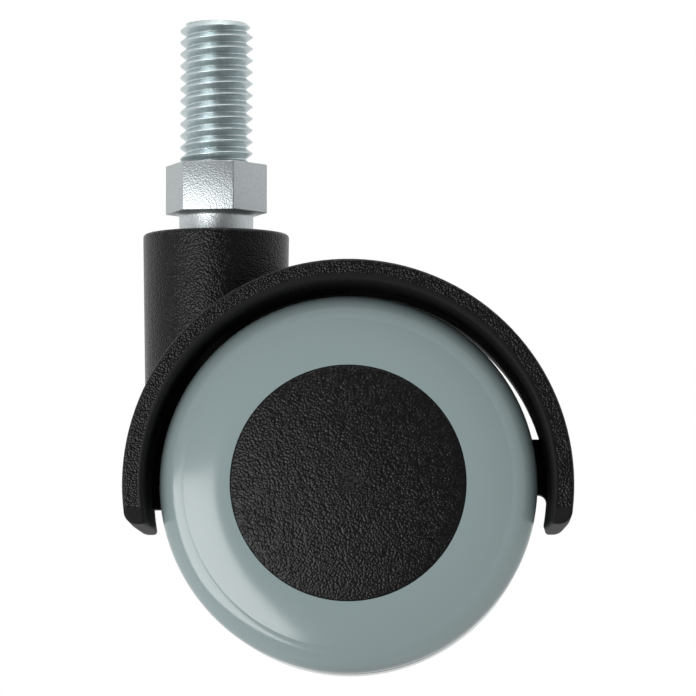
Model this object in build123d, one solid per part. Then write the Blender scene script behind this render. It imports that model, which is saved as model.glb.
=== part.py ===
from build123d import *
import math
import os

os.makedirs("parts", exist_ok=True)

# Twin-wheel swivel castor with a threaded levelling stem, in millimetres, +Z up.
# Origin: swivel axis, on the upper face of the spanner hex, which seats against the furniture.
# The wheels trail towards +X, their axle runs along Y, the near wheel is on the -Y side.

# ---------------------------------------------------------------- driving sizes
# threaded stem
thread_diameter = 7.88
thread_length = 15.4
thread_chamfer = 0.65
hex_across_flats = 9.62
hex_height = 5.3
hex_turn = 21.6                 # one hex corner, in degrees from -Y towards +X
hex_top_chamfer = 0.15
hex_under_angle = 30.0
collar_diameter = 8.0
collar_reach = 2.25             # collar in sight between the hex and the socket's rim
collar_flare = 0.55
pin_diameter = 6.6
pin_length = 15.2
pin_tip_chamfer = 0.6

# swivel parts
collar_seat_depth = 0.5         # collar's underside below the socket's rim
thrust_washer_thickness = 0.6
bush_flange_thickness = 1.0
bush_length = 6.4
bush_flange_diameter = 11.2
bush_sleeve_diameter = 9.4
bush_lip_wall = 1.1
bush_nib_height = 0.2
bush_nib_depth = 0.5
bush_nibs = ((-22.0, 0.55), (8.0, 1.2))    # turn in degrees and width of each moulding nib
ring_wire = 0.9
ring_grip = 0.45                # part of the wire that lies in the pin's groove

# wheels
wheel_diameter = 40.0
wheel_trail = 14.4              # axle behind the swivel axis
wheel_axle_drop = 35.0          # axle below the hex's upper face
tyre_inner_face = 4.6           # distances along the axle are from the castor's middle plane
tyre_crown = 8.8
tyre_crown_rise = 0.15
tyre_back_round = 0.7
tyre_shoulder_round = 2.6
tyre_tread_thickness = 3.0
tyre_face_thickness = 1.5
tyre_face_round = 18.0
core_rim_wall = 2.0
core_disc_thickness = 1.5
core_hub_diameter = 9.4
core_rib_thickness = 1.3
core_rib_count = 8
core_rib_setback = 0.5
cap_diameter = 24.9
cap_face = 12.0                 # cap's edge along the axle
cap_dome = 0.9
cap_wall = 1.1
cap_edge_round = 0.2
cap_skirt_diameter = 17.0
cap_skirt_wall = 1.0
cap_skirt_depth = 1.0

# axle and what holds the wheels on it
axle_diameter = 5.0
axle_chamfer = 0.4
axle_washer_diameter = 9.0
axle_washer_thickness = 0.5
lock_ring_diameter = 11.0
lock_ring_thickness = 0.4
lock_ring_teeth = 6
lock_tooth_gap = 0.5
lock_tooth_reach = 0.72         # slots' share of the ring's radius
axle_stub = 0.6                 # axle past the lock ring

# moulded housing
hood_overhang = 1.0             # hood's side past the caps' edges
hood_wheel_gap = 1.64           # between the tyres and the hood's inner edge
hood_wall = 2.12
hood_drop = 0.16                # hood's centre below the axle
hood_inner_drop = 0.3
hood_outer_draft = 0.15         # rise of the outer face to the middle plane
hood_inner_draft = 0.5
hood_skirt = 4.4                # hood's ends below the axle
hood_corner_round = 1.4
hood_inside_corner_round = 0.4
hood_edge_round = 0.35
socket_diameter = 15.76
socket_draft = 0.9              # degrees, narrower towards the hood
socket_edge_round = 0.4
web_thickness = 3.0
web_skirt = 2.25                # web's lower edge below the axle
arm_top = 5.2
arm_bottom = -0.7
arm_root_round = 0.9
axle_boss_diameter = 10.4
axle_boss_half = 3.3
column_wall = 0.85
column_floor = 1.3

# clearances
seat_gap = 0.02                 # pieces pressed or clipped together
running_gap = 0.06              # radial, pin and axle in their bores
side_gap = 0.1                  # between flat faces that turn on each other
collar_gap = 0.35               # collar inside the bush's lip
pin_end_gap = 0.8

# ---------------------------------------------------------------- places that follow
wheel_radius = wheel_diameter / 2
axle_x = wheel_trail
axle_z = -wheel_axle_drop
hood_inner_radius = wheel_radius + hood_wheel_gap
hood_outer_radius = hood_inner_radius + hood_wall
half_hood = cap_face + hood_overhang
hex_bottom_z = -hex_height
rim_z = hex_bottom_z - collar_reach
collar_bottom_z = rim_z - collar_seat_depth
pin_tip_z = collar_bottom_z - pin_length
flange_top_z = collar_bottom_z - thrust_washer_thickness - side_gap
bush_bottom_z = flange_top_z - bush_length
ring_z = bush_bottom_z - ring_wire / 2 - side_gap * 2
ring_centre_radius = pin_diameter / 2 - ring_grip + ring_wire / 2
ring_room_diameter = bush_sleeve_diameter + 2 * seat_gap
ring_room_floor_z = ring_z - ring_wire / 2 - side_gap * 2
pin_bore_diameter = pin_diameter + 2 * running_gap
column_diameter = pin_bore_diameter + 2 * column_wall
column_floor_z = pin_tip_z - pin_end_gap

washer_face = axle_boss_half + side_gap / 2
hub_inner_face = washer_face + axle_washer_thickness + side_gap
disc_outer_face = cap_face - tyre_face_thickness
disc_inner_face = disc_outer_face - core_disc_thickness
lock_ring_face = disc_inner_face + side_gap * 2
axle_half = lock_ring_face + lock_ring_thickness + axle_stub
core_rim_radius = wheel_radius - tyre_tread_thickness
cap_radius = cap_diameter / 2


def box_between(x0, x1, y0, y1, z0, z1):
    return Pos((x0 + x1) / 2, (y0 + y1) / 2, (z0 + z1) / 2) * Box(x1 - x0, y1 - y0, z1 - z0)


def rod(diameter, z0, z1, x=0.0):
    """A plain vertical cylinder between two heights."""
    return Pos(x, 0, (z0 + z1) / 2) * Cylinder(diameter / 2, z1 - z0)


def revolved(outline):
    """Turns a closed (radius, height) outline about Z."""
    face = make_face(Polyline(*[(r, 0, h) for r, h in outline], close=True))
    return revolve(face, Axis.Z)


def on_axle(part, side):
    """Lays a piece made along Z onto the axle; side is -1 for the near wheel, 1 for the far."""
    return Pos(axle_x, 0, axle_z) * Rot(-90 * side, 0, 0) * part


# ---------------------------------------------------------------- stem
def hex_section():
    across_corners = hex_across_flats / math.cos(math.pi / 6)
    prism = extrude(RegularPolygon(across_corners / 2, 6, rotation=hex_turn - 90), -hex_height)
    edge = across_corners / 2 - hex_across_flats / 2
    under = edge * math.tan(math.radians(hex_under_angle))
    turned = revolved([
        (0, 0),
        (across_corners / 2 - hex_top_chamfer, 0),
        (across_corners / 2, -hex_top_chamfer),
        (across_corners / 2, hex_bottom_z + under),
        (hex_across_flats / 2, hex_bottom_z),
        (0, hex_bottom_z),
    ])
    return prism & turned


def collar_and_flare():
    r = collar_diameter / 2
    with BuildSketch(Plane.XZ) as section:
        with BuildLine():
            Polyline((0, hex_bottom_z), (0, collar_bottom_z), (r, collar_bottom_z),
                     (r, hex_bottom_z - collar_flare))
            RadiusArc((r, hex_bottom_z - collar_flare), (r + collar_flare, hex_bottom_z), collar_flare)
            Line((r + collar_flare, hex_bottom_z), (0, hex_bottom_z))
        make_face()
    return revolve(section.sketch, Axis.Z)


def make_stem():
    thread = rod(thread_diameter, 0, thread_length)
    thread = chamfer(thread.edges().group_by(Axis.Z)[-1], thread_chamfer)
    pin = rod(pin_diameter, pin_tip_z, collar_bottom_z)
    pin = chamfer(pin.edges().group_by(Axis.Z)[0], pin_tip_chamfer)
    groove = Pos(0, 0, ring_z) * Torus(ring_centre_radius, ring_wire / 2 + seat_gap)
    return thread + hex_section() + collar_and_flare() + pin - groove


def make_retaining_ring():
    """Round-wire snap ring, open on one side."""
    ring = Pos(0, 0, ring_z) * Torus(ring_centre_radius, ring_wire / 2)
    mouth = box_between(0, 2 * ring_centre_radius, -ring_wire, ring_wire,
                        ring_z - ring_wire, ring_z + ring_wire)
    return ring - mouth


# ---------------------------------------------------------------- swivel
def make_thrust_washer():
    lip_bore = collar_diameter + 2 * collar_gap
    top = collar_bottom_z - side_gap / 2
    washer = rod(lip_bore - 2 * side_gap, top - thrust_washer_thickness, top)
    return washer - rod(pin_diameter + 4 * running_gap, top - thrust_washer_thickness, top)


def make_swivel_bush():
    """Flanged sleeve; its lip stands round the collar, with two low moulding nibs."""
    lip_bore = collar_diameter + 2 * collar_gap
    body = rod(bush_sleeve_diameter, bush_bottom_z, flange_top_z)
    body += rod(bush_flange_diameter, flange_top_z - bush_flange_thickness, rim_z)
    body -= rod(lip_bore, flange_top_z, rim_z)
    body -= rod(pin_bore_diameter, bush_bottom_z, flange_top_z)
    nib_radius = lip_bore / 2 + bush_lip_wall / 3
    for turn, width in bush_nibs:
        nib = box_between(-width / 2, width / 2, -nib_radius - bush_nib_depth / 2, -nib_radius + bush_nib_depth / 2,
                          rim_z - bush_nib_height, rim_z + bush_nib_height)
        body += Rot(0, 0, turn) * nib
    return body


# ---------------------------------------------------------------- housing
def barrel(radius, rise, drop):
    """Solid of turning about the axle's direction; its radius grows by rise to the middle plane."""
    outline = [(0, -half_hood), (radius, -half_hood), (radius + rise, 0), (radius, half_hood), (0, half_hood)]
    return Pos(axle_x, 0, axle_z - drop) * Rot(90, 0, 0) * revolved(outline)


def wheel_room():
    """Space inside the hood: narrowest at the middle plane, open to both sides."""
    return barrel(hood_inner_radius, -hood_inner_draft, hood_inner_drop)


def end_edges(hood, outer):
    """Edges of the hood's two ends that run along the axle: the outer or the inner pair."""
    ends = hood.edges().filter_by(lambda e: abs(e.center().Z - (axle_z - hood_skirt)) < 0.01)
    middle = (hood_outer_radius + hood_inner_radius) / 2
    along = [e for e in ends if e.bounding_box().size.Y > e.bounding_box().size.X * 2]
    return [e for e in along if (abs(e.center().X - axle_x) > middle) == outer]


def make_hood():
    far = hood_outer_radius + 5
    below = box_between(axle_x - far, axle_x + far, -half_hood - 1, half_hood + 1,
                        axle_z - 2 * far, axle_z - hood_skirt)
    hood = barrel(hood_outer_radius, hood_outer_draft, hood_drop) - wheel_room() - below
    hood = fillet(end_edges(hood, True), hood_corner_round)
    hood = fillet(end_edges(hood, False), hood_inside_corner_round)
    rims = [f for f in hood.faces().filter_by(Axis.Y) if abs(abs(f.center().Y) - half_hood) < 0.01]
    return fillet([e for f in rims for e in f.edges()], hood_edge_round)


def make_socket():
    foot_z = axle_z + hood_skirt
    height = rim_z - foot_z
    foot_radius = socket_diameter / 2 - height * math.tan(math.radians(socket_draft))
    cone = Pos(0, 0, foot_z + height / 2) * Cone(foot_radius, socket_diameter / 2, height)
    cone = fillet(cone.edges().group_by(Axis.Z)[-1], socket_edge_round)
    return cone - wheel_room()


def make_web():
    """Plate over the stem side of the hood, and the arm that ties the axle boss to its far end."""
    reach = hood_inner_radius - hood_inner_draft / 2
    centre_z = axle_z - hood_inner_drop
    disc = Pos(axle_x, 0, centre_z) * Rot(90, 0, 0) * Cylinder(reach, web_thickness)
    plate = box_between(axle_x - reach - 1, axle_x, -web_thickness, web_thickness,
                        axle_z - web_skirt, axle_z + reach + 1)
    arm = box_between(axle_x, axle_x + reach + 1, -web_thickness, web_thickness,
                      axle_z + arm_bottom, axle_z + arm_top)
    return disc & (plate + arm)


def arm_roots(body):
    """Edges where the arm's upper and lower faces run into the hood."""
    heights = (axle_z + arm_top, axle_z + arm_bottom)
    beyond = axle_x + hood_inner_radius - 2 * hood_inner_draft
    level = [e for e in body.edges() if min(abs(e.center().Z - z) for z in heights) < 0.05]
    across = [e for e in level if e.bounding_box().size.Y > 2 * e.bounding_box().size.X]
    return [e for e in across if e.center().X > beyond and abs(e.center().Y) < web_thickness / 2]


def make_column():
    """Walls of the pin's bore below the socket, between the two wheels."""
    return rod(column_diameter, column_floor_z - column_floor, ring_room_floor_z)


def make_housing():
    boss = Pos(axle_x, 0, axle_z) * Rot(90, 0, 0) * Cylinder(axle_boss_diameter / 2, 2 * axle_boss_half)
    axle_bore = Pos(axle_x, 0, axle_z) * Rot(90, 0, 0) * Cylinder(axle_diameter / 2 + seat_gap, 2 * half_hood)
    body = make_hood() + make_socket() + make_web()
    body = fillet(arm_roots(body), arm_root_round)
    body += make_column() + boss
    body -= axle_bore
    body -= rod(bush_flange_diameter + 2 * seat_gap, flange_top_z - bush_flange_thickness - seat_gap, rim_z + 1)
    body -= rod(ring_room_diameter, ring_room_floor_z, rim_z)
    return body - rod(pin_bore_diameter, column_floor_z, rim_z)


# ---------------------------------------------------------------- wheels, along +Z from the middle plane
def tyre_outline():
    """Half section of the soft tyre: tread, rounded shoulder, gently domed outer face."""
    r = wheel_radius
    low = r - tyre_crown_rise
    shoulder = tyre_shoulder_round
    top = tyre_crown + shoulder
    with BuildSketch(Plane.XZ) as section:
        with BuildLine():
            Line((core_rim_radius, tyre_inner_face), (low - tyre_back_round, tyre_inner_face))
            RadiusArc((low - tyre_back_round, tyre_inner_face), (low, tyre_inner_face + tyre_back_round),
                      -tyre_back_round)
            ThreePointArc((low, tyre_inner_face + tyre_back_round),
                          ((low + 3 * r) / 4, (tyre_inner_face + tyre_back_round + tyre_crown) / 2),
                          (r, tyre_crown))
            RadiusArc((r, tyre_crown), (r - shoulder, top), -shoulder)
            RadiusArc((r - shoulder, top), (cap_radius + seat_gap, cap_face), -tyre_face_round)
            Polyline((cap_radius + seat_gap, cap_face), (cap_radius + seat_gap, disc_outer_face),
                     (core_rim_radius, disc_outer_face), (core_rim_radius, tyre_inner_face))
        make_face()
    return section.sketch


def make_tyre():
    return revolve(tyre_outline(), Axis.Z)


def make_core():
    """Hard wheel centre: hub, disc and rim with ribs on the hidden inner side."""
    hub_radius = core_hub_diameter / 2
    inner_rim = core_rim_radius - core_rim_wall
    pocket = cap_skirt_diameter / 2 + seat_gap
    hub = rod(core_hub_diameter, hub_inner_face, disc_inner_face)
    disc = rod(2 * core_rim_radius, disc_inner_face, disc_outer_face) - rod(2 * pocket, disc_inner_face, disc_outer_face)
    floor = rod(2 * pocket + core_disc_thickness, disc_inner_face - core_disc_thickness, disc_inner_face)
    rim = rod(2 * core_rim_radius, tyre_inner_face, disc_outer_face) - rod(2 * inner_rim, tyre_inner_face, disc_outer_face)
    ribs = box_between(0, inner_rim + core_rim_wall / 2, -core_rib_thickness / 2, core_rib_thickness / 2,
                       tyre_inner_face + core_rib_setback, disc_inner_face)
    core = hub + disc + floor + rim
    for spoke in range(core_rib_count):
        core += Rot(0, 0, spoke * 360 / core_rib_count) * ribs
    return core - rod(axle_diameter + 2 * running_gap, hub_inner_face - 1, disc_outer_face)


def make_cap():
    """Domed hub cap with a snap skirt that sits in the core's pocket."""
    edge = cap_face - disc_outer_face - seat_gap
    dome_radius = (cap_radius ** 2 + cap_dome ** 2) / (2 * cap_dome)
    centre = cap_face + cap_dome - dome_radius
    disc = rod(cap_diameter, disc_outer_face + seat_gap, cap_face + cap_dome)
    cap = disc & (Pos(0, 0, centre) * Sphere(dome_radius))
    cap = fillet(cap.edges().filter_by(lambda e: abs(e.center().Z - cap_face) < 0.01), cap_edge_round)
    cap -= rod(cap_skirt_diameter - 2 * cap_skirt_wall, disc_outer_face, disc_outer_face + edge - cap_wall)
    skirt_low = disc_outer_face - cap_skirt_depth
    skirt = rod(cap_skirt_diameter, skirt_low, cap_face - cap_wall / 2)
    skirt -= rod(cap_skirt_diameter - 2 * cap_skirt_wall, skirt_low, cap_face - cap_wall / 2)
    return cap + skirt


# ---------------------------------------------------------------- axle
def make_axle():
    axle = Cylinder(axle_diameter / 2, 2 * axle_half)
    return chamfer(axle.edges().filter_by(GeomType.CIRCLE), axle_chamfer)


def make_axle_washer():
    washer = rod(axle_washer_diameter, washer_face, washer_face + axle_washer_thickness)
    return washer - rod(axle_diameter + 2 * running_gap, washer_face, washer_face + axle_washer_thickness)


def make_lock_ring():
    """Push-on ring whose slotted inner edge grips the axle."""
    top = lock_ring_face + lock_ring_thickness
    ring = rod(lock_ring_diameter, lock_ring_face, top) - rod(axle_diameter + 2 * seat_gap, lock_ring_face, top)
    slot = box_between(0, lock_ring_diameter / 2 * lock_tooth_reach, -lock_tooth_gap / 2, lock_tooth_gap / 2, lock_ring_face, top)
    for tooth in range(lock_ring_teeth):
        ring -= Rot(0, 0, tooth * 360 / lock_ring_teeth) * slot
    return ring


def main():
    pieces = {
        "stem": make_stem(),
        "retaining_ring": make_retaining_ring(),
        "thrust_washer": make_thrust_washer(),
        "swivel_bush": make_swivel_bush(),
        "housing": make_housing(),
        "axle": on_axle(make_axle(), 1),
    }
    for name, side in (("near", -1), ("far", 1)):
        pieces["tyre_" + name] = on_axle(make_tyre(), side)
        pieces["wheel_core_" + name] = on_axle(make_core(), side)
        pieces["hub_cap_" + name] = on_axle(make_cap(), side)
        pieces["axle_washer_" + name] = on_axle(make_axle_washer(), side)
        pieces["lock_ring_" + name] = on_axle(make_lock_ring(), side)
    for name, piece in pieces.items():
        export_step(piece, os.path.join("parts", name + ".step"))


main()
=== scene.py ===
import bmesh
import bpy
import math
from mathutils import Matrix, Vector


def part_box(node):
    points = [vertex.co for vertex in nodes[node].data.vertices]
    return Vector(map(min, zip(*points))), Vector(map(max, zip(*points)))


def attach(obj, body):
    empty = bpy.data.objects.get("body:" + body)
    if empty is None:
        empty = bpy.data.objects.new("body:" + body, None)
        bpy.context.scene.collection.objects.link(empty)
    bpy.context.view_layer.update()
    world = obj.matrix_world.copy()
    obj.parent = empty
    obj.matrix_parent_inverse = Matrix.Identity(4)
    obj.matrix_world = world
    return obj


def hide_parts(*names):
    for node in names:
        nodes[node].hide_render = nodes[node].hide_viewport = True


# Twin-wheel castor with a threaded levelling stem: looks, thread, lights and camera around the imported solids.
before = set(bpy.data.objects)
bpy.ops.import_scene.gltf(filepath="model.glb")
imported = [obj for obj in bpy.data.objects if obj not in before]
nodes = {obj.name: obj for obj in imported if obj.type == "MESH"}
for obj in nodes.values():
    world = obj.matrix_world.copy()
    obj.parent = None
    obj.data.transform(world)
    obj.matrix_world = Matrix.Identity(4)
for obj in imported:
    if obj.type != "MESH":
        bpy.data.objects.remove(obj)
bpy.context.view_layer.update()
mm = 0.001
print("frame loaded with", len(nodes), "solids")

# places that the frame gives
tyreLow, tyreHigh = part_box("tyre_near")
axle = (tyreLow + tyreHigh) / 2
axle.y = 0
wheelRadius = (tyreHigh.x - tyreLow.x) / 2
stemLow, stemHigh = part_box("stem")
housingLow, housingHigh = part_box("housing")
seatZ = 0.0                                       # upper face of the spanner hex


def linear(colour):
    channels = [int(colour[i:i + 2], 16) / 255 for i in (1, 3, 5)]
    return [c / 12.92 if c <= 0.04045 else ((c + 0.055) / 1.055) ** 2.4 for c in channels] + [1.0]


def addNode(tree, kind, settings=None, inputs=None):
    node = tree.nodes.new(kind)
    for name, value in (settings or {}).items():
        setattr(node, name, value)
    for key, value in (inputs or {}).items():
        if isinstance(value, bpy.types.NodeSocket):
            tree.links.new(value, node.inputs[key])
        else:
            node.inputs[key].default_value = value
    return node


def newMaterial(name):
    material = bpy.data.materials.new(name)
    material.use_nodes = True
    material.node_tree.nodes.clear()
    return material


def surface(tree, shader):
    addNode(tree, "ShaderNodeOutputMaterial", inputs={"Surface": shader})


# ---- materials

nylonLook = {
    # painted highlight on the grain's tops and painted shade in its valleys
    "valleyShadeColour": "#030403", "topHighlightColour": "#0B0C0A",
    "valleyRoughness": 0.3, "topRoughness": 0.24, "specular": 0.19, "smoothRoughness": 0.7,
    "grainMm": 0.23,                # one pebble of the leather-like grain
    "patchMm": 1.1,                 # how far its depth wanders
    "depthMm": 0.085,
    "gritMm": 0.12, "gritShare": 0.2,
}


def mouldedNylon(name, look, mask=None):
    # glass-filled nylon from a spark-eroded mould: deep black, each pebble of the grain takes a small glint from the
    # lamps, and its base colour adds a painted highlight on the pebble's top and painted shade in the valleys
    material = newMaterial(name)
    tree = material.node_tree
    place = addNode(tree, "ShaderNodeTexCoord").outputs["Object"]
    pebbles = addNode(tree, "ShaderNodeTexVoronoi", {"feature": "SMOOTH_F1"},
                      {"Vector": place, "Scale": 1 / (look["grainMm"] * mm), "Smoothness": 0.2})
    patches = addNode(tree, "ShaderNodeTexNoise", inputs={
        "Vector": place, "Scale": 1 / (look["patchMm"] * mm), "Detail": 2.0})
    depth = addNode(tree, "ShaderNodeMapRange", inputs={
        "Value": patches.outputs["Fac"], "From Min": 0.3, "From Max": 0.7, "To Min": 0.55, "To Max": 1.0})
    grit = addNode(tree, "ShaderNodeTexNoise", inputs={
        "Vector": place, "Scale": 1 / (look["gritMm"] * mm), "Detail": 1.0})
    pebble = addNode(tree, "ShaderNodeMath", {"operation": "MULTIPLY"}, {
        0: pebbles.outputs["Distance"], 1: depth.outputs["Result"]})
    height = addNode(tree, "ShaderNodeMath", {"operation": "MULTIPLY_ADD"}, {
        0: grit.outputs["Fac"], 1: look["gritShare"], 2: pebble.outputs["Value"]}).outputs["Value"]
    tops = addNode(tree, "ShaderNodeMapRange", inputs={
        "Value": pebbles.outputs["Distance"], "From Min": 0.14, "From Max": 0.42, "To Min": 1.0, "To Max": 0.0})
    # painted highlight and shade: the base colour is lighter on the pebbles' tops and darker in the valleys between
    # them
    colour = addNode(tree, "ShaderNodeMix", {"data_type": "RGBA"}, {
        "Factor": tops.outputs["Result"], "A": linear(look["valleyShadeColour"]), "B": linear(look["topHighlightColour"])})
    polish = addNode(tree, "ShaderNodeMapRange", inputs={
        "Value": tops.outputs["Result"], "To Min": look["valleyRoughness"],
        "To Max": look["topRoughness"]}).outputs["Result"]
    if mask:
        grained = mask(tree, place)
        height = addNode(tree, "ShaderNodeMath", {"operation": "MULTIPLY"}, {
            0: height, 1: grained}).outputs["Value"]
        polish = addNode(tree, "ShaderNodeMapRange", inputs={
            "Value": grained, "To Min": look["smoothRoughness"], "To Max": polish}).outputs["Result"]
    bump = addNode(tree, "ShaderNodeBump", {"invert": True}, {
        "Height": height, "Strength": 1.0, "Distance": look["depthMm"] * mm})
    shader = addNode(tree, "ShaderNodeBsdfPrincipled", inputs={
        "Base Color": colour.outputs["Result"], "Roughness": polish, "IOR": 1.53,
        "Specular IOR Level": look["specular"], "Normal": bump.outputs["Normal"]})
    surface(tree, shader.outputs["BSDF"])
    return material


hoodGrain = {"innerRadiusMm": 21.9, "fadeMm": 0.25, "smoothEndMm": 2.6}


def hoodGrainMask(tree, place):
    # the mould is grained outside only: inside the hood and its two ends are polished
    offset = addNode(tree, "ShaderNodeVectorMath", {"operation": "SUBTRACT"}, {0: place, 1: axle})
    flat = addNode(tree, "ShaderNodeVectorMath", {"operation": "MULTIPLY"}, {
        0: offset.outputs["Vector"], 1: (1, 0, 1)})
    radius = addNode(tree, "ShaderNodeVectorMath", {"operation": "LENGTH"}, {0: flat.outputs["Vector"]})
    inner = hoodGrain["innerRadiusMm"] * mm
    outside = addNode(tree, "ShaderNodeMapRange", inputs={
        "Value": radius.outputs["Value"], "From Min": inner, "From Max": inner + hoodGrain["fadeMm"] * mm})
    heights = addNode(tree, "ShaderNodeSeparateXYZ", inputs={"Vector": flat.outputs["Vector"]})
    end = -hoodGrain["smoothEndMm"] * mm
    above = addNode(tree, "ShaderNodeMapRange", inputs={
        "Value": heights.outputs["Z"], "From Min": end - hoodGrain["fadeMm"] * mm, "From Max": end})
    both = addNode(tree, "ShaderNodeMath", {"operation": "MULTIPLY"}, {
        0: outside.outputs["Result"], 1: above.outputs["Result"]})
    return both.outputs["Value"]


tyreLook = {
    "colour": "#748182", "roughness": 0.15, "specular": 0.5, "rippleMm": 4.0, "rippleDepthMm": 0.01,
}


def castPolyurethane(name, look):
    # soft grey polyurethane moulded against a polished tool: even, glossy, faint flow waves in the reflections
    material = newMaterial(name)
    tree = material.node_tree
    place = addNode(tree, "ShaderNodeTexCoord").outputs["Object"]
    waves = addNode(tree, "ShaderNodeTexNoise", inputs={
        "Vector": place, "Scale": 1 / (look["rippleMm"] * mm), "Detail": 1.0})
    bump = addNode(tree, "ShaderNodeBump", inputs={
        "Height": waves.outputs["Fac"], "Strength": 1.0, "Distance": look["rippleDepthMm"] * mm})
    shader = addNode(tree, "ShaderNodeBsdfPrincipled", inputs={
        "Base Color": linear(look["colour"]), "Roughness": look["roughness"], "IOR": 1.5,
        "Specular IOR Level": look["specular"], "Normal": bump.outputs["Normal"]})
    surface(tree, shader.outputs["BSDF"])
    return material


hexZincLook = {
    "colour": "#BCC2C3", "dullColour": "#969C9E", "roughness": 0.42,
    "crystalMm": 0.17, "crystalDepthMm": 0.022, "cloudMm": 0.25,
}
threadZincLook = {
    "colour": "#CBD5D6", "dullColour": "#A9B5B8", "roughness": 0.36,
    "crystalMm": 0.2, "crystalDepthMm": 0.012, "cloudMm": 0.5,
}


def zincPlate(name, look):
    # electroplated zinc with clear passivation over turned steel: bluish, fine crystals, slightly cloudy
    material = newMaterial(name)
    tree = material.node_tree
    place = addNode(tree, "ShaderNodeTexCoord").outputs["Object"]
    clouds = addNode(tree, "ShaderNodeTexNoise", inputs={
        "Vector": place, "Scale": 1 / (look["cloudMm"] * mm), "Detail": 3.0})
    colour = addNode(tree, "ShaderNodeMix", {"data_type": "RGBA"}, {
        "Factor": clouds.outputs["Fac"], "A": linear(look["colour"]), "B": linear(look["dullColour"])})
    crystals = addNode(tree, "ShaderNodeTexVoronoi", inputs={
        "Vector": place, "Scale": 1 / (look["crystalMm"] * mm)})
    bump = addNode(tree, "ShaderNodeBump", inputs={
        "Height": crystals.outputs["Distance"], "Strength": 1.0, "Distance": look["crystalDepthMm"] * mm})
    shader = addNode(tree, "ShaderNodeBsdfPrincipled", inputs={
        "Base Color": colour.outputs["Result"], "Metallic": 1.0, "Roughness": look["roughness"],
        "Normal": bump.outputs["Normal"]})
    surface(tree, shader.outputs["BSDF"])
    return material


def plainSteel(name, colour, roughness):
    # bare spring or axle steel, ground: grey, satin
    material = newMaterial(name)
    tree = material.node_tree
    place = addNode(tree, "ShaderNodeTexCoord").outputs["Object"]
    grinding = addNode(tree, "ShaderNodeTexNoise", inputs={"Vector": place, "Scale": 1 / (0.2 * mm)})
    bump = addNode(tree, "ShaderNodeBump", inputs={
        "Height": grinding.outputs["Fac"], "Strength": 0.6, "Distance": 0.004 * mm})
    shader = addNode(tree, "ShaderNodeBsdfPrincipled", inputs={
        "Base Color": linear(colour), "Metallic": 1.0, "Roughness": roughness,
        "Normal": bump.outputs["Normal"]})
    surface(tree, shader.outputs["BSDF"])
    return material


def smoothAcetal(name, colour, roughness):
    # injection-moulded acetal: waxy, dark, with a faint mould haze
    material = newMaterial(name)
    tree = material.node_tree
    place = addNode(tree, "ShaderNodeTexCoord").outputs["Object"]
    haze = addNode(tree, "ShaderNodeTexNoise", inputs={"Vector": place, "Scale": 1 / (1.5 * mm)})
    shade = addNode(tree, "ShaderNodeMapRange", inputs={
        "Value": haze.outputs["Fac"], "To Min": roughness - 0.05, "To Max": roughness + 0.05})
    shader = addNode(tree, "ShaderNodeBsdfPrincipled", inputs={
        "Base Color": linear(colour), "Roughness": shade.outputs["Result"], "IOR": 1.48})
    surface(tree, shader.outputs["BSDF"])
    return material


housingNylon = mouldedNylon("blackNylonGrained", nylonLook, hoodGrainMask)
capNylon = mouldedNylon("blackNylonCap", dict(nylonLook, grainMm=0.25, depthMm=0.1))
greyTyre = castPolyurethane("greyPolyurethane", tyreLook)
hexZinc = zincPlate("zincPlatedForging", hexZincLook)
threadZinc = zincPlate("zincPlatedThread", threadZincLook)
# painted light: the collar has the hex's zinc painted lighter, to lift it out of the shade under the hex
collarZincPaintedLighter = zincPlate("zincPlatedCollarPaintedLighter", dict(hexZincLook, colour="#CDD3D4", dullColour="#A6ACAE"))
springSteel = plainSteel("springSteel", "#8E9093", 0.35)
axleSteel = plainSteel("groundAxleSteel", "#B0B3B6", 0.25)
blackAcetal = smoothAcetal("blackAcetal", "#1C1C1C", 0.4)
coreNylon = smoothAcetal("blackCoreNylon", "#1E1E1D", 0.5)

finishes = {
    "housing": housingNylon, "swivel_bush": blackAcetal, "thrust_washer": springSteel,
    "retaining_ring": springSteel, "axle": axleSteel,
}
for side in ("near", "far"):
    finishes["tyre_" + side] = greyTyre
    finishes["hub_cap_" + side] = capNylon
    finishes["wheel_core_" + side] = coreNylon
    finishes["axle_washer_" + side] = blackAcetal
    finishes["lock_ring_" + side] = springSteel
for nodeName, material in finishes.items():
    for place in nodes[nodeName].material_slots:
        place.material = material
print("materials ready")

# ---- threaded stem

threadSizes = {
    "Pitch": 1.268 * mm, "Crest Radius": 3.92 * mm, "Root Radius": 3.22 * mm,
    "Length": stemHigh.z - seatZ, "Chamfer": 0.65 * mm, "Crest Share": 0.07, "Root Share": 0.1,
}
threadSteps = {"aroundSteps": 96, "rowsPerPitch": 20}


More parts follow.
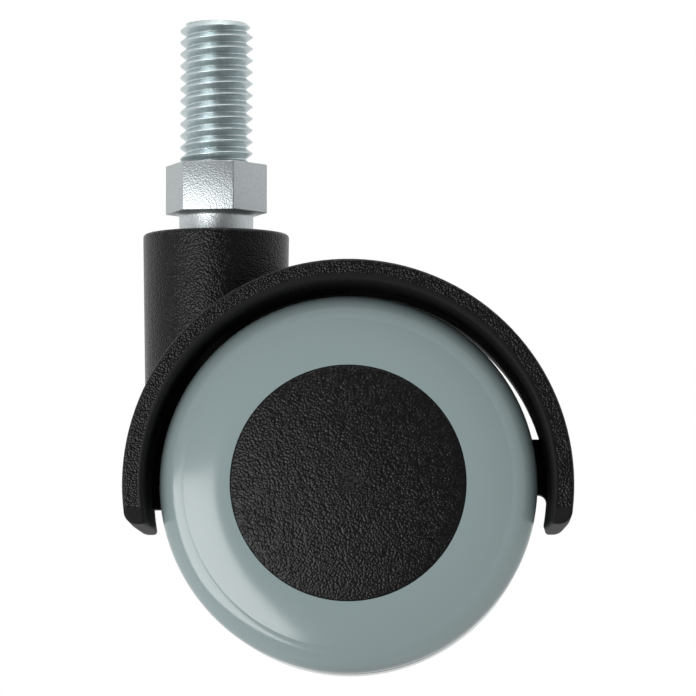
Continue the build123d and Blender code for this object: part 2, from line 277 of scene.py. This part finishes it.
def threadTree(sizes, steps):
    tree = bpy.data.node_groups.new("helicalThread", "GeometryNodeTree")
    tree.interface.new_socket("Geometry", in_out="OUTPUT", socket_type="NodeSocketGeometry")
    for name in sizes:
        tree.interface.new_socket(name, in_out="INPUT", socket_type="NodeSocketFloat")
    tree.interface.new_socket("Material", in_out="INPUT", socket_type="NodeSocketMaterial")
    given = addNode(tree, "NodeGroupInput").outputs

    def maths(operation, *values):
        return addNode(tree, "ShaderNodeMath", {"operation": operation}, dict(enumerate(values))).outputs[0]

    # the sheet's rows follow the helix, from a turn below the seat to a turn above the end
    turns = math.ceil(sizes["Length"] / sizes["Pitch"]) + 2
    sheet = addNode(tree, "GeometryNodeMeshGrid", inputs={
        "Size X": 1.0, "Size Y": 1.0, "Vertices X": steps["aroundSteps"] + 1,
        "Vertices Y": turns * steps["rowsPerPitch"] + 1})
    at = addNode(tree, "ShaderNodeSeparateXYZ", inputs={
        "Vector": addNode(tree, "GeometryNodeInputPosition").outputs[0]})
    around = maths("ADD", at.outputs["X"], 0.5)
    along = maths("MULTIPLY", maths("ADD", at.outputs["Y"], 0.5), float(turns))
    angle = maths("MULTIPLY", around, 2 * math.pi)
    height = maths("MULTIPLY", maths("SUBTRACT", maths("ADD", along, around), 1.5), given["Pitch"])
    # crest at the middle of each turn of the sheet, root between turns, straight flanks
    fromCrest = maths("MULTIPLY", maths("ABSOLUTE", maths("SUBTRACT", maths("FRACT", along), 0.5)), 2.0)
    flank = addNode(tree, "ShaderNodeMapRange", inputs={
        "Value": fromCrest, "From Min": given["Crest Share"],
        "From Max": maths("SUBTRACT", 1.0, given["Root Share"]),
        "To Min": given["Crest Radius"], "To Max": given["Root Radius"]})
    # lead-in chamfer
    toEnd = maths("SUBTRACT", given["Length"], height)
    chamferRadius = maths("ADD", maths("SUBTRACT", given["Crest Radius"], given["Chamfer"]), maths("MAXIMUM", toEnd, 0.0))
    radius = maths("MINIMUM", flank.outputs["Result"], chamferRadius)
    # rows past either end are laid flat on it, and all but the first of them close the end
    rowHeight = maths("MULTIPLY", given["Pitch"], 1.01 / steps["rowsPerPitch"])
    pastEnd = maths("LESS_THAN", toEnd, maths("MULTIPLY", rowHeight, -1.0))
    pastSeat = maths("LESS_THAN", height, maths("MULTIPLY", rowHeight, -1.0))
    radius = maths("MULTIPLY", radius, maths("SUBTRACT", 1.0, maths("MAXIMUM", pastEnd, pastSeat)))
    height = maths("MINIMUM", maths("MAXIMUM", height, 0.0), given["Length"])
    spot = addNode(tree, "ShaderNodeCombineXYZ", inputs={
        "X": maths("MULTIPLY", radius, maths("COSINE", angle)),
        "Y": maths("MULTIPLY", radius, maths("SINE", angle)), "Z": height})
    placed = addNode(tree, "GeometryNodeSetPosition", inputs={
        "Geometry": sheet.outputs["Mesh"], "Position": spot.outputs["Vector"]})
    closed = addNode(tree, "GeometryNodeMergeByDistance", inputs={
        "Geometry": placed.outputs["Geometry"], "Distance": 0.002 * mm})
    solid = addNode(tree, "GeometryNodeRealizeInstances", inputs={"Geometry": closed.outputs["Geometry"]})
    coated = addNode(tree, "GeometryNodeSetMaterial", inputs={
        "Geometry": solid.outputs["Geometry"], "Material": given["Material"]})
    addNode(tree, "NodeGroupOutput", inputs={"Geometry": coated.outputs["Geometry"]})
    return tree


def bakedFromTree(name, tree, values):
    # runs the tree on an empty mesh and keeps its result as a plain mesh
    holder = bpy.data.objects.new(name, bpy.data.meshes.new(name + "Empty"))
    bpy.context.scene.collection.objects.link(holder)
    modifier = holder.modifiers.new(name, "NODES")
    modifier.node_group = tree
    for item in tree.interface.items_tree:
        if item.in_out == "INPUT" and item.name in values:
            modifier[item.identifier] = values[item.name]
    bpy.context.view_layer.update()
    graph = bpy.context.evaluated_depsgraph_get()
    mesh = bpy.data.meshes.new_from_object(holder.evaluated_get(graph), depsgraph=graph)
    holder.modifiers.remove(modifier)
    holder.data = mesh
    return holder


def shadeByAngle(mesh, sharpAngle, turnOutwards=False):
    work = bmesh.new()
    work.from_mesh(mesh)
    bmesh.ops.remove_doubles(work, verts=work.verts, dist=0.0005 * mm)
    bmesh.ops.dissolve_degenerate(work, edges=work.edges, dist=0.0005 * mm)
    if turnOutwards:
        bmesh.ops.recalc_face_normals(work, faces=work.faces)
    for face in work.faces:
        face.smooth = True
    for edge in work.edges:
        edge.smooth = len(edge.link_faces) == 2 and edge.calc_face_angle(0) < sharpAngle
    work.to_mesh(mesh)
    work.free()


def standForStem(piece, material):
    piece.data.materials.clear()
    piece.data.materials.append(material)
    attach(piece, "stem_body")
    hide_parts("stem")
    return piece


def linked(name, mesh):
    piece = bpy.data.objects.new(name, mesh)
    bpy.context.scene.collection.objects.link(piece)
    return piece


def makeThread():
    thread = bakedFromTree("stemThread", threadTree(threadSizes, threadSteps),
                           dict(threadSizes, Material=threadZinc))
    shadeByAngle(thread.data, math.radians(50), True)
    return standForStem(thread, threadZinc)


hexSizes = {"acrossFlatsMm": 9.68, "heightMm": 5.3, "cornerTurn": 21.6, "edgeMm": 0.13}


def makeHex():
    mesh = bpy.data.meshes.new("stemHex")
    work = bmesh.new()
    corner = hexSizes["acrossFlatsMm"] * mm / 2 / math.cos(math.radians(30))
    rings = []
    for z in (seatZ - hexSizes["heightMm"] * mm, seatZ):
        turns = [math.radians(hexSizes["cornerTurn"] - 90 + 60 * i) for i in range(6)]
        rings.append([work.verts.new((corner * math.cos(t), corner * math.sin(t), z)) for t in turns])
    low, high = rings
    work.faces.new(list(reversed(low)))
    work.faces.new(high)
    for i in range(6):
        j = (i + 1) % 6
        work.faces.new((low[i], low[j], high[j], high[i]))
    bmesh.ops.bevel(work, geom=work.edges[:], offset=hexSizes["edgeMm"] * mm, segments=3, profile=0.5,
                    affect="EDGES", clamp_overlap=True)
    bmesh.ops.recalc_face_normals(work, faces=work.faces)
    work.to_mesh(mesh)
    work.free()
    shadeByAngle(mesh, math.radians(35))
    return standForStem(linked("stemHex", mesh), hexZinc)


def makePin():
    # the solid's own collar and pin, below the hex
    mesh = nodes["stem"].data.copy()
    work = bmesh.new()
    work.from_mesh(mesh)
    under = seatZ - (hexSizes["heightMm"] + 0.003) * mm
    above = [face for face in work.faces if face.calc_center_median().z > under]
    bmesh.ops.delete(work, geom=above, context="FACES")
    work.to_mesh(mesh)
    work.free()
    shadeByAngle(mesh, math.radians(25))
    # the collar takes the hex's zinc painted lighter, as painted light against the shade under the hex
    return standForStem(linked("stemPin", mesh), collarZincPaintedLighter)


def makeCap(side):
    # the solid's own cap with its doubles merged, so that the dome shades evenly up to its middle
    mesh = nodes["hub_cap_" + side].data.copy()
    shadeByAngle(mesh, math.radians(30))
    mesh.materials.clear()
    mesh.materials.append(capNylon)
    cap = linked("hubCap" + side.capitalize(), mesh)
    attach(cap, "wheel_" + side)
    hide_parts("hub_cap_" + side)
    return cap


for side in ("near", "far"):
    makeCap(side)
print("caps ready")
stemThread = makeThread()
stemHex = makeHex()
stemPin = makePin()
print("stem ready:", len(stemThread.data.polygons), "thread faces")

# ---- floor, light and camera

studio = {
    "floorColour": "#F2F2F0", "floorSize": 4.0,
    "backLevel": 1.0, "frontLevel": 0.26, "aheadLevel": 0.12, "leftLevel": 0.15,
}


def makeFloor():
    # seen from above only; the camera is a little lower than the floor, so from below it lets light through
    mesh = bpy.data.meshes.new("floor")
    half = studio["floorSize"] / 2
    z = tyreLow.z - 0.02 * mm
    mesh.from_pydata([(-half, -half, z), (half, -half, z), (half, half, z), (-half, half, z)], [], [(0, 1, 2, 3)])
    material = newMaterial("paleFloor")
    tree = material.node_tree
    paper = addNode(tree, "ShaderNodeBsdfDiffuse", inputs={"Color": linear(studio["floorColour"])})
    clear = addNode(tree, "ShaderNodeBsdfTransparent")
    back = addNode(tree, "ShaderNodeNewGeometry").outputs["Backfacing"]
    mixed = addNode(tree, "ShaderNodeMixShader", inputs={
        0: back, 1: paper.outputs["BSDF"], 2: clear.outputs["BSDF"]})
    surface(tree, mixed.outputs["Shader"])
    mesh.materials.append(material)
    floor = bpy.data.objects.new("floor", mesh)
    bpy.context.scene.collection.objects.link(floor)
    floor.visible_glossy = False            # gloss looks past it, into the white room
    floor.visible_shadow = False            # the table is lit from below as well
    return floor


def makeWorld():
    # white all round for what looks straight at it; a softer, darker room in front for what it lights
    world = bpy.data.worlds.new("studio")
    world.use_nodes = True
    tree = world.node_tree
    tree.nodes.clear()
    direction = addNode(tree, "ShaderNodeTexCoord").outputs["Generated"]
    parts = addNode(tree, "ShaderNodeSeparateXYZ", inputs={"Vector": direction})
    ahead = addNode(tree, "ShaderNodeMapRange", inputs={
        "Value": parts.outputs["Y"], "From Min": -0.99, "From Max": -0.88,
        "To Min": studio["aheadLevel"], "To Max": studio["frontLevel"]})
    behind = addNode(tree, "ShaderNodeMapRange", inputs={
        "Value": parts.outputs["Y"], "From Min": -0.9, "From Max": 0.1,
        "To Min": 0.0, "To Max": studio["backLevel"] - studio["frontLevel"]})
    left = addNode(tree, "ShaderNodeMapRange", inputs={
        "Value": parts.outputs["X"], "From Min": -0.3, "From Max": -1.0, "To Min": 0.0, "To Max": studio["leftLevel"]})
    sides = addNode(tree, "ShaderNodeMath", {"operation": "ADD"}, {
        0: left.outputs["Result"], 1: behind.outputs["Result"]})
    level = addNode(tree, "ShaderNodeMath", {"operation": "ADD"}, {
        0: ahead.outputs["Result"], 1: sides.outputs["Value"]})
    path = addNode(tree, "ShaderNodeLightPath")
    seen = addNode(tree, "ShaderNodeMath", {"operation": "MAXIMUM"}, {
        0: path.outputs["Is Camera Ray"], 1: path.outputs["Is Transmission Ray"]})
    backdrop = addNode(tree, "ShaderNodeMapRange", inputs={
        "Value": parts.outputs["Y"], "From Min": -0.4, "From Max": 0.8})
    mirrored = addNode(tree, "ShaderNodeMath", {"operation": "MULTIPLY"}, {
        0: path.outputs["Is Glossy Ray"], 1: backdrop.outputs["Result"]})
    shown = addNode(tree, "ShaderNodeMath", {"operation": "MAXIMUM"}, {
        0: seen.outputs["Value"], 1: mirrored.outputs["Value"]})
    strength = addNode(tree, "ShaderNodeMix", {"data_type": "FLOAT"}, {
        0: shown.outputs["Value"], 2: level.outputs["Value"], 3: 1.0})
    shade = addNode(tree, "ShaderNodeBackground", inputs={
        "Color": (1, 1, 1, 1), "Strength": strength.outputs[0]})
    addNode(tree, "ShaderNodeOutputWorld", inputs={"Surface": shade.outputs["Background"]})
    bpy.context.scene.world = world


# each lamp is a softbox aimed at the wheels: turn from straight ahead to the right, height angle, both in degrees
lamps = {
    "keyLeft": {"turn": -31.5, "height": -12.2, "away": 0.30, "size": (0.212, 0.177), "level": 6.7},
    "topSoft": {"turn": 10.0, "height": 75.0, "away": 0.80, "size": (0.70, 0.50), "level": 2.2},
}


def makeLamps(floor):
    offFloor = bpy.data.collections.new("offFloor")
    offFloor.objects.link(floor)
    offFloor.collection_objects[0].light_linking.link_state = "EXCLUDE"
    for name, lamp in lamps.items():
        light = bpy.data.lights.new(name, "AREA")
        light.shape = "RECTANGLE"
        light.size, light.size_y = lamp["size"]
        light.energy = math.pi * lamp["level"] * lamp["size"][0] * lamp["size"][1]
        turn, height = math.radians(lamp["turn"]), math.radians(lamp["height"])
        towards = Vector((math.sin(turn) * math.cos(height), -math.cos(turn) * math.cos(height), math.sin(height)))
        holder = linked(name, light)
        holder.location = axle + towards * lamp["away"]
        holder.rotation_euler = towards.to_track_quat("Z", "Y").to_euler()
        holder.visible_camera = False
        if lamp["height"] < 0:
            # a softbox at table height lights the castor only, or it would burn a patch into the floor
            holder.light_linking.receiver_collection = offFloor


cameraSet = {
    "place": Vector((21.43, -543.33, -64.06)) * mm,
    "pitch": 4.655, "yaw": 0.759, "lens": 261.7, "sensor": 36.0,
}


def makeCamera():
    camera = bpy.data.cameras.new("camera")
    camera.sensor_width = cameraSet["sensor"]
    camera.lens = cameraSet["lens"]
    camera.clip_start = 0.01
    holder = bpy.data.objects.new("camera", camera)
    holder.location = cameraSet["place"]
    holder.rotation_euler = (math.radians(90 + cameraSet["pitch"]), 0, math.radians(cameraSet["yaw"]))
    bpy.context.scene.collection.objects.link(holder)
    bpy.context.scene.camera = holder


floor = makeFloor()
makeWorld()
makeLamps(floor)
makeCamera()
bpy.context.scene.view_settings.view_transform = "Standard"
print("studio ready")
